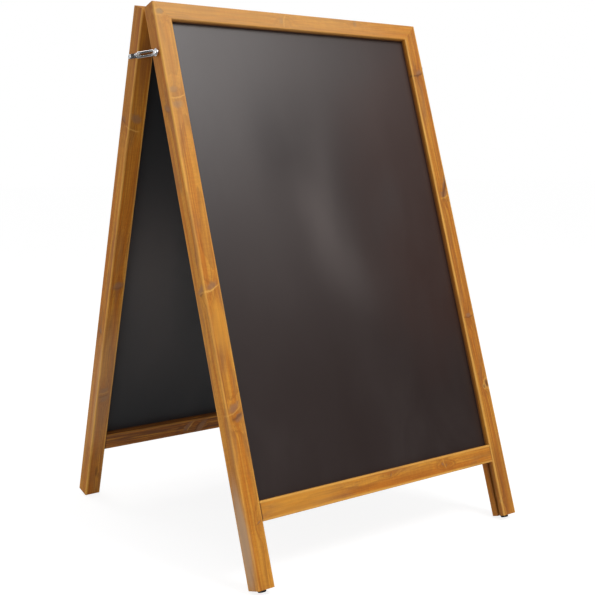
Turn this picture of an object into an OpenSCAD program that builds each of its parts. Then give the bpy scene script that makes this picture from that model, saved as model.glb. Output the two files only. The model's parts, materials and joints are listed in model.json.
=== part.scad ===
// Folding A-shaped chalkboard: two grooved timber frames, each holding a chalk panel, joined at the top
// by a pair of butt hinges and held open by a sliding steel stay on each side.
// +X runs across the board, +Y to the rear, +Z up. The origin is on the ground, midway between the legs.

/* [Timber] */
// Length of each leg along its outer edge, from the mitred top corner to its square bottom end
stile_len = 1200; // [900:10:1500]
// Width of the board over both legs
overall_w = 730; // [500:5:1000]
// Width of a leg, seen from the front
stile_w = 39; // [36:1:60]
// Thickness of a leg, front to back
stile_t = 38; // [38:1:50]
// Height of the top rail
top_rail_h = 37; // [34:1:60]
// Height of the bottom rail
bottom_rail_h = 40; // [34:1:80]
// Height of the chalk surface, between the rails
writing_h = 997; // [600:1:1150]
// How far the bottom rail's outer face lies behind the legs'
rail_set_back = 0.8; // [0.2:0.1:3]
// Radius of the rounded arrises
arris_r = 2.5; // [1:0.5:5]

/* [Panel joint] */
// Width of the groove that holds the panel
groove_w = 6; // [5:0.5:8]
// Depth of the groove
groove_depth = 9; // [6:0.5:10]
// Timber in front of the groove, on a leg
groove_cover = 14; // [12:0.5:16]
// Thickness of the chalk panel
panel_t = 5.5; // [3:0.5:7.5]
// Play of the panel behind its edge, in the groove
panel_play = 1; // [0.5:0.5:2]
// Play of the bottom rail's tenons in the groove
tenon_play = 0.1; // [0.05:0.05:0.3]
// Radius of the corner dowels
dowel_r = 4; // [3:0.5:4.5]
// Length of a bottom rail's dowel
dowel_len = 50; // [30:2:56]
// Distance between the two dowels at each end of a bottom rail
dowel_pitch = 17; // [14:1:20]
// Length of a mitre dowel
mitre_dowel_len = 22; // [16:1:22]
// Distance between the two dowels of a mitre
mitre_dowel_pitch = 14; // [12:1:15]

/* [Fold] */
// Angle of each frame from upright when the board stands open
half_angle = 17.5; // [8:0.5:25]
// Gap between the two frames when the board is folded flat
folded_gap = 4; // [4:0.5:8]
// Height of the hinge axis above the legs' tops
hinge_rise = 3.3; // [3.3:0.1:6]

/* [Hinges] */
// Length of a hinge leaf
leaf_len = 50; // [40:1:80]
// Height of a hinge leaf below the axis
leaf_h = 24; // [20:1:30]
// Thickness of a hinge leaf
leaf_t = 1.5; // [1:0.1:1.6]
// Outer radius of the knuckles
knuckle_r = 3; // [2.5:0.1:3.2]
// Radius of the hinge pin
hinge_pin_r = 1.5; // [1:0.1:1.8]
// Distance from a leg to the end of the hinge next to it
hinge_gap = 60; // [30:5:90]
// Radius of the hinge screws' shank
hinge_screw_r = 1.75; // [1.5:0.05:2]
// Length of the hinge screws
hinge_screw_len = 16; // [10:1:17]

/* [Stays] */
// Distance from the fold axis to each stay pivot
pivot_radius = 113; // [105:1:125]
// Distance from a front leg's inner face to the stay's pivot
front_pivot_out = 24; // [20:0.5:31]
// Distance from a rear leg's inner face to the stay's pivot
rear_pivot_out = 26; // [20:0.5:28]
// Height of the channel
channel_h = 13.6; // [13:0.2:16]
// Thickness of the channel's steel
channel_t = 1.4; // [1:0.1:1.8]
// Thickness of the slide bar
bar_t = 1.8; // [1.5:0.1:2.4]
// Radius of the stud
stud_r = 2; // [1.5:0.1:2.5]
// Length of the stud outside the channel
stud_proud = 8.8; // [5:0.2:12]
// Radius of the washer under the front pivot screw
pivot_washer_r = 5.6; // [5.2:0.1:6.6]
// Radius of the washer under the lock nut
clamp_washer_r = 4.6; // [4.2:0.1:5]
// Radius of the pivot screws' plain shoulder
pivot_r = 2.5; // [2:0.1:3]
// Radius of the rounded end of the channel
lobe_r = 8; // [6:0.1:9]
// Length of the pivot screws' thread in the timber
pivot_thread_len = 22; // [12:1:26]
// Steel left between the end of the slot and the end of the channel
slot_land = 4; // [3:0.5:8]

/* [Feet] */
// Radius of a foot
foot_r = 8.5; // [6:0.5:14]
// Height of a foot
foot_h = 6; // [4:0.5:12]
// Radius of the foot's lower edge
foot_edge_r = 1.5; // [0.5:0.1:2]
// Length of the foot screws, head included
foot_screw_len = 25; // [16:1:40]

/* [Hidden] */
$fn = 64;

left = -1;
right = 1;
// Cutters run past the faces they cut by this much.
past = 1;
// Radial clearances: a screw or dowel in its own hole, and a turning part on its shaft.
fixed_clear = 0.05;
running_clear = 0.06;
countersink_clear = 0.1;
// Gap between faces that slide past each other.
slide_gap = 0.3;

// Each frame is drawn folded flat, on the rear side of the mid-plane: the fold axis is y = 0, z = 0,
// the timber's inner face is y = inner_y and its top end is z = -hinge_rise.
inner_y = folded_gap / 2;
outer_y = inner_y + stile_t;
groove_y = outer_y - groove_cover - groove_w;
groove_mid_y = groove_y + groove_w / 2;
stile_top = -hinge_rise;
stile_bottom = stile_top - stile_len;
writing_top = stile_top - top_rail_h;
writing_bottom = writing_top - writing_h;
rail_half_len = overall_w / 2 - stile_w;
panel_bite = groove_depth - panel_play;

// The lowest point of a foot is on its rounded edge, nearest the mid-plane. It stands on z = 0.
foot_edge_down = stile_len + hinge_rise + foot_h - foot_edge_r;
foot_edge_in = inner_y + stile_t / 2 - foot_r + foot_edge_r;
hinge_z = foot_edge_down * cos(half_angle) - foot_edge_in * sin(half_angle) + foot_edge_r;

// Dowels lie behind the groove: along X at the bottom rail, and square to the mitre at the top.
dowel_y = (inner_y + groove_y) / 2;
top_rail_mid = writing_top + top_rail_h / 2;
bottom_rail_mid = writing_bottom - bottom_rail_h / 2;
mitre_angle = atan(top_rail_h / stile_w);

// Hinges: three knuckles, the middle one on the rear leaf. The rail's top edge stays outside the knuckles.
knuckle_len = leaf_len / 3;
hinge_x = rail_half_len - hinge_gap - leaf_len / 2;
leaf_face_y = inner_y - leaf_t;
knuckle_cut_z = -knuckle_r - slide_gap;
pin_head_r = hinge_pin_r + 0.7;
pin_head_t = 0.8;
hinge_head_r = 2 * hinge_screw_r;
hinge_head_h = 1.3;
hinge_head_sunk = 0.1;
hinge_screw_z = [-11, -18, -11];
hinge_screw_x = [-17, 0, 17] * leaf_len / 50;

// Stays, along X from the leg's side: slide bar, glide washer, channel web, then washers and heads.
flange_x = 0.5;
bar_x = 0.9;
bar_top_x = bar_x + bar_t;
rear_head_x = bar_top_x + slide_gap;
rear_head_t = 0.9;
web_x = rear_head_x + rear_head_t + slide_gap;
web_top_x = web_x + channel_t;
washer_x = web_top_x + slide_gap;
washer_t = 0.8;
head_x = washer_x + washer_t;
channel_in_h = channel_h - 2 * channel_t;
bar_r = channel_in_h / 2 - slide_gap;
channel_bend_r = 1.2;
slot_r = stud_r + 0.1;
neck_h = 9.6;
neck_len = 9;
head_r = pivot_washer_r - 0.6;
head_t = 2.2;
recess_w = 1.1;
nut_r = 4.04;
nut_t = 3.2;
thread_r = 0.84 * pivot_r;

// Both pivots lie on one circle about the fold axis, so the stay turns by half the fold's angle.
front_pivot_y = inner_y + front_pivot_out;
rear_pivot_y = inner_y + rear_pivot_out;
front_pivot_z = -sqrt(pow(pivot_radius, 2) - pow(front_pivot_y, 2));
rear_pivot_z = -sqrt(pow(pivot_radius, 2) - pow(rear_pivot_y, 2));
front_pivot_angle = asin(front_pivot_y / pivot_radius);
rear_pivot_angle = asin(rear_pivot_y / pivot_radius);
stay_tilt = (front_pivot_angle - rear_pivot_angle) / 2;
folded_span = 2 * pivot_radius * sin((front_pivot_angle + rear_pivot_angle) / 2);
open_span = 2 * pivot_radius * sin((front_pivot_angle + rear_pivot_angle) / 2 + half_angle);
stud_travel = open_span - folded_span;
// Folded flat, the stud stops with its washer just short of the front pivot's washer.
slot_start = pivot_washer_r + clamp_washer_r + slide_gap;
stud_reach = slot_start + stud_travel;
channel_len = stud_reach + slot_r + slot_land;

foot_screw_r = 1.75;
foot_head_r = 3.4;
foot_head_h = 2;
foot_recess = 1.2;

// ---- Places ----

// Puts what is drawn for the right side on the given side.
module on_side(side) {
    mirror([side == left ? 1 : 0, 0, 0]) children();
}

// Opens a frame drawn flat to its place at the rear.
module rear_pose() {
    translate([0, 0, hinge_z]) rotate([half_angle, 0, 0]) children();
}

// Opens a frame drawn flat to its place at the front.
module front_pose() {
    mirror([0, 1, 0]) rear_pose() children();
}

// The stay's own space: origin at the front pivot on the leg's side, +X outwards, +Y towards the rear pivot.
module stay_pose(side) {
    open_angle = front_pivot_angle + half_angle;
    on_side(side)
        translate([overall_w / 2, -pivot_radius * sin(open_angle), hinge_z - pivot_radius * cos(open_angle)])
            rotate([-stay_tilt, 0, 0]) children();
}

// ---- Profiles ----

// Rectangle from the origin with all four corners rounded.
module rounded_rectangle(size, r) {
    translate([r, 0]) square([size.x - 2 * r, size.y]);
    translate([0, r]) square([size.x, size.y - 2 * r]);
    for (x = [r, size.x - r], y = [r, size.y - r]) translate([x, y]) circle(r = r);
}

// Outline with round ends about two points on the profile's X axis.
module link_outline(x0, x1, r) {
    translate([x0, -r]) square([x1 - x0, 2 * r]);
    for (x = [x0, x1]) translate([x, 0]) circle(r = r);
}

// Extrudes a profile drawn in Y and Z along X, from x0 to x1.
module along_x(x0, x1) {
    translate([x0, 0, 0]) rotate([90, 0, 90]) linear_extrude(x1 - x0) children();
}

// Cylinder along X from x0 to x1.
module rod_x(x0, x1, r) {
    translate([x0, 0, 0]) rotate([0, 90, 0]) cylinder(h = x1 - x0, r = r);
}

// Cone along X from x0 to x1.
module cone_x(x0, x1, r0, r1) {
    translate([x0, 0, 0]) rotate([0, 90, 0]) cylinder(h = x1 - x0, r1 = r0, r2 = r1);
}

// ---- Timber ----

// Everything past the mitre of the right top corner, on the rail's side or on the leg's.
module beyond_mitre(is_rail_side) {
    low = [rail_half_len - stile_w, writing_top - top_rail_h];
    high = [overall_w / 2 + stile_w, stile_top + top_rail_h];
    translate([0, outer_y + past, 0]) rotate([90, 0, 0]) linear_extrude(stile_t + 2 * past)
        polygon([low, high, is_rail_side ? [low.x, high.y] : [high.x, low.y]]);
}

// The two dowels of each corner on the right, or their holes, which are wider and longer.
module dowels(extra_r, extra_len) {
    translate([rail_half_len, dowel_y, bottom_rail_mid]) for (s = [-1, 1])
        translate([0, 0, s * dowel_pitch / 2])
            rod_x(-dowel_len / 2 - extra_len, dowel_len / 2 + extra_len, dowel_r + extra_r);
    translate([rail_half_len + stile_w / 2, dowel_y, top_rail_mid]) rotate([0, 90 - mitre_angle, 0])
        for (s = [-1, 1]) translate([0, 0, s * mitre_dowel_pitch / 2])
            rod_x(-mitre_dowel_len / 2 - extra_len, mitre_dowel_len / 2 + extra_len, dowel_r + extra_r);
}

module dowel_holes() {
    dowels(fixed_clear, past);
}

module stile(pivot_out) {
    pivot_y = inner_y + pivot_out;
    pivot_z = -sqrt(pow(pivot_radius, 2) - pow(pivot_y, 2));
    color("peru") difference() {
        translate([rail_half_len, inner_y, stile_bottom]) linear_extrude(stile_len) difference() {
            rounded_rectangle([stile_w, stile_t], arris_r);
            translate([-past, groove_y - inner_y]) square([groove_depth + past, groove_w]);
        }
        beyond_mitre(true);
        dowel_holes();
        translate([0, pivot_y, pivot_z])
            rod_x(overall_w / 2 - pivot_thread_len - past, overall_w / 2 + past, thread_r + fixed_clear);
        translate([overall_w / 2 - stile_w / 2, inner_y + stile_t / 2, stile_bottom - past])
            cylinder(h = foot_screw_len - foot_h + foot_recess + 2 * past, r = foot_screw_r + fixed_clear);
    }
}

// Rail with its grooved edge downwards, its middle at x = 0 and its grooved edge at z = 0.
module grooved_rail(half_len, thickness, height) {
    along_x(-half_len, half_len) translate([inner_y, 0]) difference() {
        rounded_rectangle([thickness, height], arris_r);
        translate([groove_y - inner_y, -past]) square([groove_w, groove_depth + past]);
    }
}

module hinge_screw_places() {
    for (s = [left, right], i = [0 : 2])
        translate([s * hinge_x + hinge_screw_x[i], leaf_face_y, hinge_screw_z[i]])
            rotate([-90, 0, 0]) children();
}

module top_rail() {
    color("peru") difference() {
        translate([0, 0, writing_top]) grooved_rail(overall_w / 2, stile_t, top_rail_h);
        for (s = [left, right]) on_side(s) {
            beyond_mitre(false);
            dowel_holes();
        }
        hinge_screw_places() cylinder(h = hinge_screw_len + past, r = hinge_screw_r + fixed_clear);
    }
}

module bottom_rail() {
    tenon_half_len = rail_half_len + groove_depth - panel_play / 2;
    color("peru") difference() {
        translate([0, 0, writing_bottom]) mirror([0, 0, 1]) {
            grooved_rail(rail_half_len, stile_t - rail_set_back, bottom_rail_h);
            along_x(-tenon_half_len, tenon_half_len) translate([groove_y + tenon_play, groove_depth])
                square([groove_w - 2 * tenon_play, bottom_rail_h - groove_depth - arris_r]);
        }
        for (s = [left, right]) on_side(s) dowel_holes();
    }
}

module chalkboard() {
    color([0.12, 0.11, 0.11])
        translate([-rail_half_len - panel_bite, groove_mid_y - panel_t / 2, writing_bottom - panel_bite])
            cube([2 * (rail_half_len + panel_bite), panel_t, writing_h + 2 * panel_bite]);
}

module corner_dowels() {
    color("burlywood") for (s = [left, right]) on_side(s) dowels(0, 0);
}

// ---- Hinges ----

// One leaf, drawn on the rear side, with either the middle knuckle or the two outer ones.
module hinge_leaf(side, is_middle, bore_r) {
    x0 = -leaf_len / 2;
    color("silver") translate([side * hinge_x, 0, 0]) difference() {
        union() {
            translate([x0, leaf_face_y, -leaf_h]) cube([leaf_len, leaf_t, leaf_h]);
            if (is_middle) rod_x(-knuckle_len / 2 + slide_gap / 2, knuckle_len / 2 - slide_gap / 2, knuckle_r);
            else for (s = [left, right]) on_side(s) rod_x(knuckle_len / 2 + slide_gap / 2, leaf_len / 2, knuckle_r);
        }
        for (i = is_middle ? [-1, 1] : [0])
            translate([(i - 1 / 2) * knuckle_len - slide_gap / 2, -knuckle_r, knuckle_cut_z])
                cube([knuckle_len + slide_gap, 2 * knuckle_r + past, 2 * knuckle_r + past]);
        rod_x(x0 - past, x0 + leaf_len + past, bore_r);
        for (i = [0 : 2]) translate([hinge_screw_x[i], leaf_face_y, hinge_screw_z[i]]) rotate([-90, 0, 0]) {
            translate([0, 0, -past]) cylinder(h = leaf_t + 2 * past, r = hinge_screw_r + fixed_clear);
            translate([0, 0, -past]) cylinder(h = past + hinge_head_sunk, r = hinge_head_r + countersink_clear);
            translate([0, 0, hinge_head_sunk]) cylinder(h = hinge_head_h, r1 = hinge_head_r + countersink_clear,
                r2 = hinge_screw_r + countersink_clear);
        }
    }
}

module hinge_pin(side) {
    end = leaf_len / 2;
    color("gainsboro") translate([side * hinge_x, 0, hinge_z]) {
        rod_x(-end - pin_head_t, end + pin_head_t, hinge_pin_r);
        for (s = [left, right]) on_side(s) rod_x(end, end + pin_head_t, pin_head_r);
    }
}

module hinge_screws() {
    color("gainsboro") hinge_screw_places() translate([0, 0, hinge_head_sunk]) {
        cylinder(h = hinge_screw_len, r = hinge_screw_r);
        cylinder(h = hinge_head_h, r1 = hinge_head_r, r2 = hinge_screw_r);
    }
}

// ---- Stays ----

module stay_channel(side) {
    flange_len = channel_len - neck_len;
    color("silver") stay_pose(side) difference() {
        union() {
            translate([0, channel_len, 0]) rotate([90, 0, 0]) linear_extrude(flange_len) difference() {
                translate([flange_x - channel_bend_r, -channel_h / 2])
                    rounded_rectangle([web_top_x - flange_x + channel_bend_r, channel_h], channel_bend_r);
                translate([flange_x - channel_bend_r - past, -channel_h / 2 - past])
                    square([channel_bend_r + past, channel_h + 2 * past]);
                translate([flange_x - past, -channel_in_h / 2]) square([web_x - flange_x + past, channel_in_h]);
            }
            along_x(web_x, web_top_x) {
                circle(r = lobe_r);
                translate([0, -neck_h / 2]) square([neck_len + past, neck_h]);
            }
        }
        along_x(web_x - past, web_top_x + past) link_outline(slot_start, stud_reach, slot_r);
        rod_x(web_x - past, web_top_x + past, pivot_r + running_clear);
    }
}

module stay_slide_bar(side) {
    color("silver") stay_pose(side) difference() {
        along_x(bar_x, bar_top_x) link_outline(stud_reach, open_span, bar_r);
        translate([0, stud_reach, 0]) rod_x(bar_x - past, bar_top_x + past, stud_r + fixed_clear);
        translate([0, open_span, 0]) rod_x(bar_x - past, bar_top_x + past, pivot_r + running_clear);
    }
}

module stay_stud(side) {
    tip = web_top_x + stud_proud;
    chamfer = stud_r / 4;
    color("gainsboro") stay_pose(side) translate([0, stud_reach, 0]) {
        rod_x(bar_x, tip - chamfer, stud_r);
        cone_x(tip - chamfer, tip, stud_r, stud_r - chamfer);
    }
}

module washer_on_stud(side, x0, x1, r) {
    stay_pose(side) translate([0, stud_reach, 0]) difference() {
        rod_x(x0, x1, r);
        rod_x(x0 - past, x1 + past, stud_r + fixed_clear);
    }
}

module stay_glide_washer(side) {
    color("ivory") washer_on_stud(side, bar_top_x, web_x - slide_gap, bar_r);
}

module stay_clamp_washer(side) {
    color("gainsboro") washer_on_stud(side, washer_x, head_x, clamp_washer_r);
}

module stay_lock_nut(side) {
    bevel = 0.6;
    color("gainsboro") stay_pose(side) translate([0, stud_reach, 0]) difference() {
        intersection() {
            translate([head_x, 0, 0]) rotate([0, 90, 0]) cylinder(h = nut_t, r = nut_r, $fn = 6);
            union() {
                rod_x(head_x, head_x + nut_t - bevel, nut_r);
                cone_x(head_x + nut_t - bevel, head_x + nut_t, nut_r, nut_r - bevel);
            }
        }
        rod_x(head_x - past, head_x + nut_t + past, stud_r + fixed_clear);
    }
}

// Shouldered wood screw along X: thread in the leg, plain shoulder, low domed head with a cross recess.
module pivot_screw(under_head, thickness, r) {
    edge = thickness / 2;
    difference() {
        union() {
            rod_x(-pivot_thread_len, past, thread_r);
            rod_x(0, under_head + past / 2, pivot_r);
            rod_x(under_head, under_head + edge, r);
            cone_x(under_head + edge, under_head + thickness, r, r - edge);
        }
        for (a = [0, 90]) rotate([a, 0, 0])
            translate([under_head + edge, -r / 2, -recess_w / 2]) cube([thickness, r, recess_w]);
    }
}

module stay_front_screw(side) {
    color("gainsboro") stay_pose(side) pivot_screw(head_x, head_t, head_r);
}

module stay_front_washer(side) {
    color("gainsboro") stay_pose(side) difference() {
        rod_x(washer_x, head_x, pivot_washer_r);
        rod_x(washer_x - past, head_x + past, pivot_r + fixed_clear);
    }
}

module stay_rear_screw(side) {
    color("gainsboro") stay_pose(side) translate([0, open_span, 0])
        pivot_screw(rear_head_x, rear_head_t, bar_r - slide_gap / 2);
}

module stay_rear_washer(side) {
    color("gainsboro") stay_pose(side) translate([0, open_span, 0]) difference() {
        rod_x(0, bar_x - slide_gap, bar_r);
        rod_x(-past, bar_x + past, pivot_r + fixed_clear);
    }
}

// ---- Feet ----

// A leg's end, with +Z pointing down out of it.
module leg_end(side) {
    translate([side * (overall_w / 2 - stile_w / 2), inner_y + stile_t / 2, stile_bottom])
        rotate([180, 0, 0]) children();
}

module foot(side) {
    color("dimgray") leg_end(side) difference() {
        rotate_extrude() {
            square([foot_r - foot_edge_r, foot_h]);
            square([foot_r, foot_h - foot_edge_r]);
            translate([foot_r - foot_edge_r, foot_h - foot_edge_r]) circle(r = foot_edge_r);
        }
        translate([0, 0, -past]) cylinder(h = foot_h + 2 * past, r = foot_screw_r + fixed_clear);
        translate([0, 0, foot_h - foot_recess - foot_head_h])
            cylinder(h = foot_head_h + foot_recess + past, r = foot_head_r + fixed_clear);
    }
}

module foot_screws() {
    head_top = foot_h - foot_recess;
    color("gainsboro") for (s = [left, right]) leg_end(s) {
        translate([0, 0, head_top - foot_screw_len]) cylinder(h = foot_screw_len, r = foot_screw_r);
        translate([0, 0, head_top - foot_head_h]) cylinder(h = foot_head_h, r = foot_head_r);
    }
}

// ---- Assembly ----

front_pose() on_side(left) stile(front_pivot_out);  // front_left_stile
front_pose() on_side(right) stile(front_pivot_out);  // front_right_stile
front_pose() top_rail();  // front_top_rail
front_pose() bottom_rail();  // front_bottom_rail
front_pose() chalkboard();  // front_chalkboard
front_pose() corner_dowels();  // front_corner_dowels

rear_pose() on_side(left) stile(rear_pivot_out);  // rear_left_stile
rear_pose() on_side(right) stile(rear_pivot_out);  // rear_right_stile
rear_pose() top_rail();  // rear_top_rail
rear_pose() bottom_rail();  // rear_bottom_rail
rear_pose() chalkboard();  // rear_chalkboard
rear_pose() corner_dowels();  // rear_corner_dowels

front_pose() hinge_leaf(left, false, hinge_pin_r + fixed_clear);  // left_hinge_front_leaf
rear_pose() hinge_leaf(left, true, hinge_pin_r + running_clear);  // left_hinge_rear_leaf
hinge_pin(left);  // left_hinge_pin
front_pose() hinge_leaf(right, false, hinge_pin_r + fixed_clear);  // right_hinge_front_leaf
rear_pose() hinge_leaf(right, true, hinge_pin_r + running_clear);  // right_hinge_rear_leaf
hinge_pin(right);  // right_hinge_pin
front_pose() hinge_screws();  // front_hinge_screws
rear_pose() hinge_screws();  // rear_hinge_screws

stay_channel(left);  // left_stay_channel
stay_slide_bar(left);  // left_stay_slide_bar
stay_stud(left);  // left_stay_stud
stay_glide_washer(left);  // left_stay_glide_washer
stay_clamp_washer(left);  // left_stay_clamp_washer
stay_lock_nut(left);  // left_stay_lock_nut
stay_front_screw(left);  // left_stay_front_screw
stay_front_washer(left);  // left_stay_front_washer
stay_rear_screw(left);  // left_stay_rear_screw
stay_rear_washer(left);  // left_stay_rear_washer
stay_channel(right);  // right_stay_channel
stay_slide_bar(right);  // right_stay_slide_bar
stay_stud(right);  // right_stay_stud
stay_glide_washer(right);  // right_stay_glide_washer
stay_clamp_washer(right);  // right_stay_clamp_washer
stay_lock_nut(right);  // right_stay_lock_nut
stay_front_screw(right);  // right_stay_front_screw
stay_front_washer(right);  // right_stay_front_washer
stay_rear_screw(right);  // right_stay_rear_screw
stay_rear_washer(right);  // right_stay_rear_washer

front_pose() foot(left);  // front_left_foot
front_pose() foot(right);  // front_right_foot
rear_pose() foot(left);  // rear_left_foot
rear_pose() foot(right);  // rear_right_foot
front_pose() foot_screws();  // front_foot_screws
rear_pose() foot_screws();  // rear_foot_screws
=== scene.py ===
"""Looks of a folding chalkboard: stained pine frames, chalk panels, zinc-plated metal and rubber feet.

The script loads the fixed frame, gives every node its finish, cuts real threads on the stays' studs, and sets
the stage. Lengths are in metres. A name that ends in _mm or _MM is in millimetres, and so are the tables of
the timber and of the panels. The fold axis runs along X near the top, and each frame leans away from upright
by half the fold's range.
"""

import json
import math

import bpy
import numpy as np
from mathutils import Matrix, Vector


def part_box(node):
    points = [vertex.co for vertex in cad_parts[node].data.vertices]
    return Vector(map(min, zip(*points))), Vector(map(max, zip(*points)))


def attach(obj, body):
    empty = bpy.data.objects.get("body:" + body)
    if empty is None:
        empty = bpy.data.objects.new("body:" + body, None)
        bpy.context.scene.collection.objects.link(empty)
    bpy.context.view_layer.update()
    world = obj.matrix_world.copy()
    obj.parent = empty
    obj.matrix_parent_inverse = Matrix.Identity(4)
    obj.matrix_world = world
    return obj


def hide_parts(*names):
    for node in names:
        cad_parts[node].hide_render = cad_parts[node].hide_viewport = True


bl_info = {
    "name": "Sandwich Board Finish",
    "version": (1, 0, 0),
    "blender": (4, 5, 0),
    "location": "3D View > Sidebar > Sandwich Board",
    "description": "Finishes a folding timber chalkboard and sets it in a plain studio",
    "category": "Object",
}

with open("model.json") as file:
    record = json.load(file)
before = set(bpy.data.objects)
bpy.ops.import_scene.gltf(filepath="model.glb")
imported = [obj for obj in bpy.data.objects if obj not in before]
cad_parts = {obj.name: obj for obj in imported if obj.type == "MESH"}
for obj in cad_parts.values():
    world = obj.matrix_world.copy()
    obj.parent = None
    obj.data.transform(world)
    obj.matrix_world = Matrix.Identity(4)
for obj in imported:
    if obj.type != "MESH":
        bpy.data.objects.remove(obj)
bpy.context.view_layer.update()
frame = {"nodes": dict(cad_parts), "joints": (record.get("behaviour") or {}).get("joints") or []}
NODES = frame["nodes"]
FOLD = next(joint for joint in frame["joints"] if joint["name"] == "fold")
FOLD_AXIS = Vector(FOLD["pos_m"])
HALF_ANGLE = math.radians(-FOLD["range_deg"][0]) / 2
FRAMES = ("front", "rear")
SIDES = ("left", "right")
TIMBER_PARTS = ("left_stile", "right_stile", "top_rail", "bottom_rail")
MM = 1000


# ---- Node helpers ----


def add_node(tree, kind, inputs=None, **settings):
    """A shader node with its settings, its constant inputs set and its linked inputs linked."""
    node = tree.nodes.new("ShaderNode" + kind)
    for name, value in settings.items():
        setattr(node, name, value)
    for key, value in (inputs or {}).items():
        if isinstance(value, bpy.types.NodeSocket):
            tree.links.new(value, node.inputs[key])
        else:
            node.inputs[key].default_value = value
    return node


def calc(tree, operation, *values, clamp=False):
    """Output of a Math node."""
    inputs = dict(enumerate(values))
    return add_node(tree, "Math", inputs, operation=operation, use_clamp=clamp).outputs[0]


def sum_of_squares(tree, first, second):
    """first times first plus second times second."""
    return calc(tree, "MULTIPLY_ADD", first, first, calc(tree, "MULTIPLY", second, second))


def bell(tree, value, rate=1.0):
    """e to the power of minus rate times value, for a value that is 0 or more."""
    return calc(tree, "EXPONENT", calc(tree, "MULTIPLY", value, -rate))


def vector_calc(tree, operation, *values, scale=None):
    """Output of a Vector Math node: a number for LENGTH and DOT_PRODUCT, otherwise a vector."""
    inputs = dict(enumerate(values))
    if scale is not None:
        inputs["Scale"] = scale
    node = add_node(tree, "VectorMath", inputs, operation=operation)
    return node.outputs["Value" if operation in ("LENGTH", "DOT_PRODUCT") else "Vector"]


def parts_of(tree, vector):
    """Outputs X, Y and Z of a vector."""
    return add_node(tree, "SeparateXYZ", {0: vector}).outputs


def ramp_between(tree, value, low, high, to_low=0.0, to_high=1.0):
    """value eased from to_low at low to to_high at high, and held outside."""
    inputs = {"Value": value, "From Min": low, "From Max": high, "To Min": to_low, "To Max": to_high}
    return add_node(tree, "MapRange", inputs, interpolation_type="SMOOTHSTEP").outputs["Result"]


def mix_colours(tree, share, first, second):
    """Output of a colour Mix node."""
    return add_node(tree, "Mix", {0: share, 6: first, 7: second}, data_type="RGBA").outputs[2]


def noise(tree, vector, stretch, detail=2.0, roughness=0.5, distortion=0.0, output="Fac"):
    """Noise read at vector times stretch, a triple of frequencies."""
    place = vector_calc(tree, "MULTIPLY", vector, stretch)
    inputs = {"Vector": place, "Scale": 1.0, "Detail": detail, "Roughness": roughness}
    return add_node(tree, "TexNoise", {**inputs, "Distortion": distortion}).outputs[output]


def new_group(name, inputs, outputs):
    """Node group with named sockets. Returns the tree, its inputs by name and its output node."""
    tree = bpy.data.node_groups.new(name, "ShaderNodeTree")
    for socket_name, (kind, value) in inputs.items():
        socket = tree.interface.new_socket(socket_name, in_out="INPUT", socket_type="NodeSocket" + kind)
        if value is not None:
            socket.default_value = value
    for socket_name, kind in outputs.items():
        tree.interface.new_socket(socket_name, in_out="OUTPUT", socket_type="NodeSocket" + kind)
    return tree, tree.nodes.new("NodeGroupInput").outputs, tree.nodes.new("NodeGroupOutput")


def send(tree, sink, values):
    """Links values to the outputs of the group that is being built. Returns the finished group."""
    for name, value in values.items():
        tree.links.new(value, sink.inputs[name])
    return tree


def use_group(tree, name, inputs):
    """Outputs of an instance of a shared node group, which is built where it is first used."""
    group = bpy.data.node_groups.get(name) or GROUP_BUILDERS[name](name)
    return add_node(tree, "Group", inputs, node_tree=group).outputs


def object_place(tree):
    """Place on the row's axes, in metres."""
    return add_node(tree, "TexCoord").outputs["Object"]


def object_place_mm(tree):
    """Place on the row's axes, in millimetres."""
    return vector_calc(tree, "SCALE", object_place(tree), scale=float(MM))


def opaque(colour, share=1.0):
    """Colour with its brightness scaled and full alpha."""
    return (*(share * c for c in colour), 1.0)


def empty_material(name):
    """Node material without nodes."""
    material = bpy.data.materials.new(name)
    material.use_nodes = True
    material.node_tree.nodes.clear()
    return material, material.node_tree


def new_material(name, preview):
    """Node material with its output and a Principled shader."""
    material, tree = empty_material(name)
    material.diffuse_color = opaque(preview)
    shader = add_node(tree, "BsdfPrincipled")
    add_node(tree, "OutputMaterial", {"Surface": shader.outputs[0]})
    return material, tree, shader


def finish_object(obj, material):
    """Puts one material on all of an object's faces."""
    obj.data.materials.clear()
    obj.data.materials.append(material)


# ---- Shared effects ----

# Half the thickness of the timber, half the width of a leg, and how far in from the faces the pale arrises
# reach, which are partly rubbed stain and partly painted highlight.
HALF_SECTION_MM = 19.0
HALF_LEG_WIDTH_MM = 19.5
ARRIS_MM = 5.0
GRAIN = ("Late", "Bands", "Fibre", "Pores", "Streaks", "Ripple", "Patch")
KNOT_MARKS = ("Core", "Edge", "Dark", "Shade", "Pale", "Deep", "Halo")
# Colour sockets of the stain, each with its name among the settings.
STAIN_COLOURS = {
    "Honey": "honey",
    "Orange": "orange",
    "Brown": "brown",
    "Late wood": "late",
    "Coat": "coat",
    "Knot": "knot",
    "Pale knot": "pale_knot",
    "Stain": "stain",
    "Curl": "curl",
}


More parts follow.
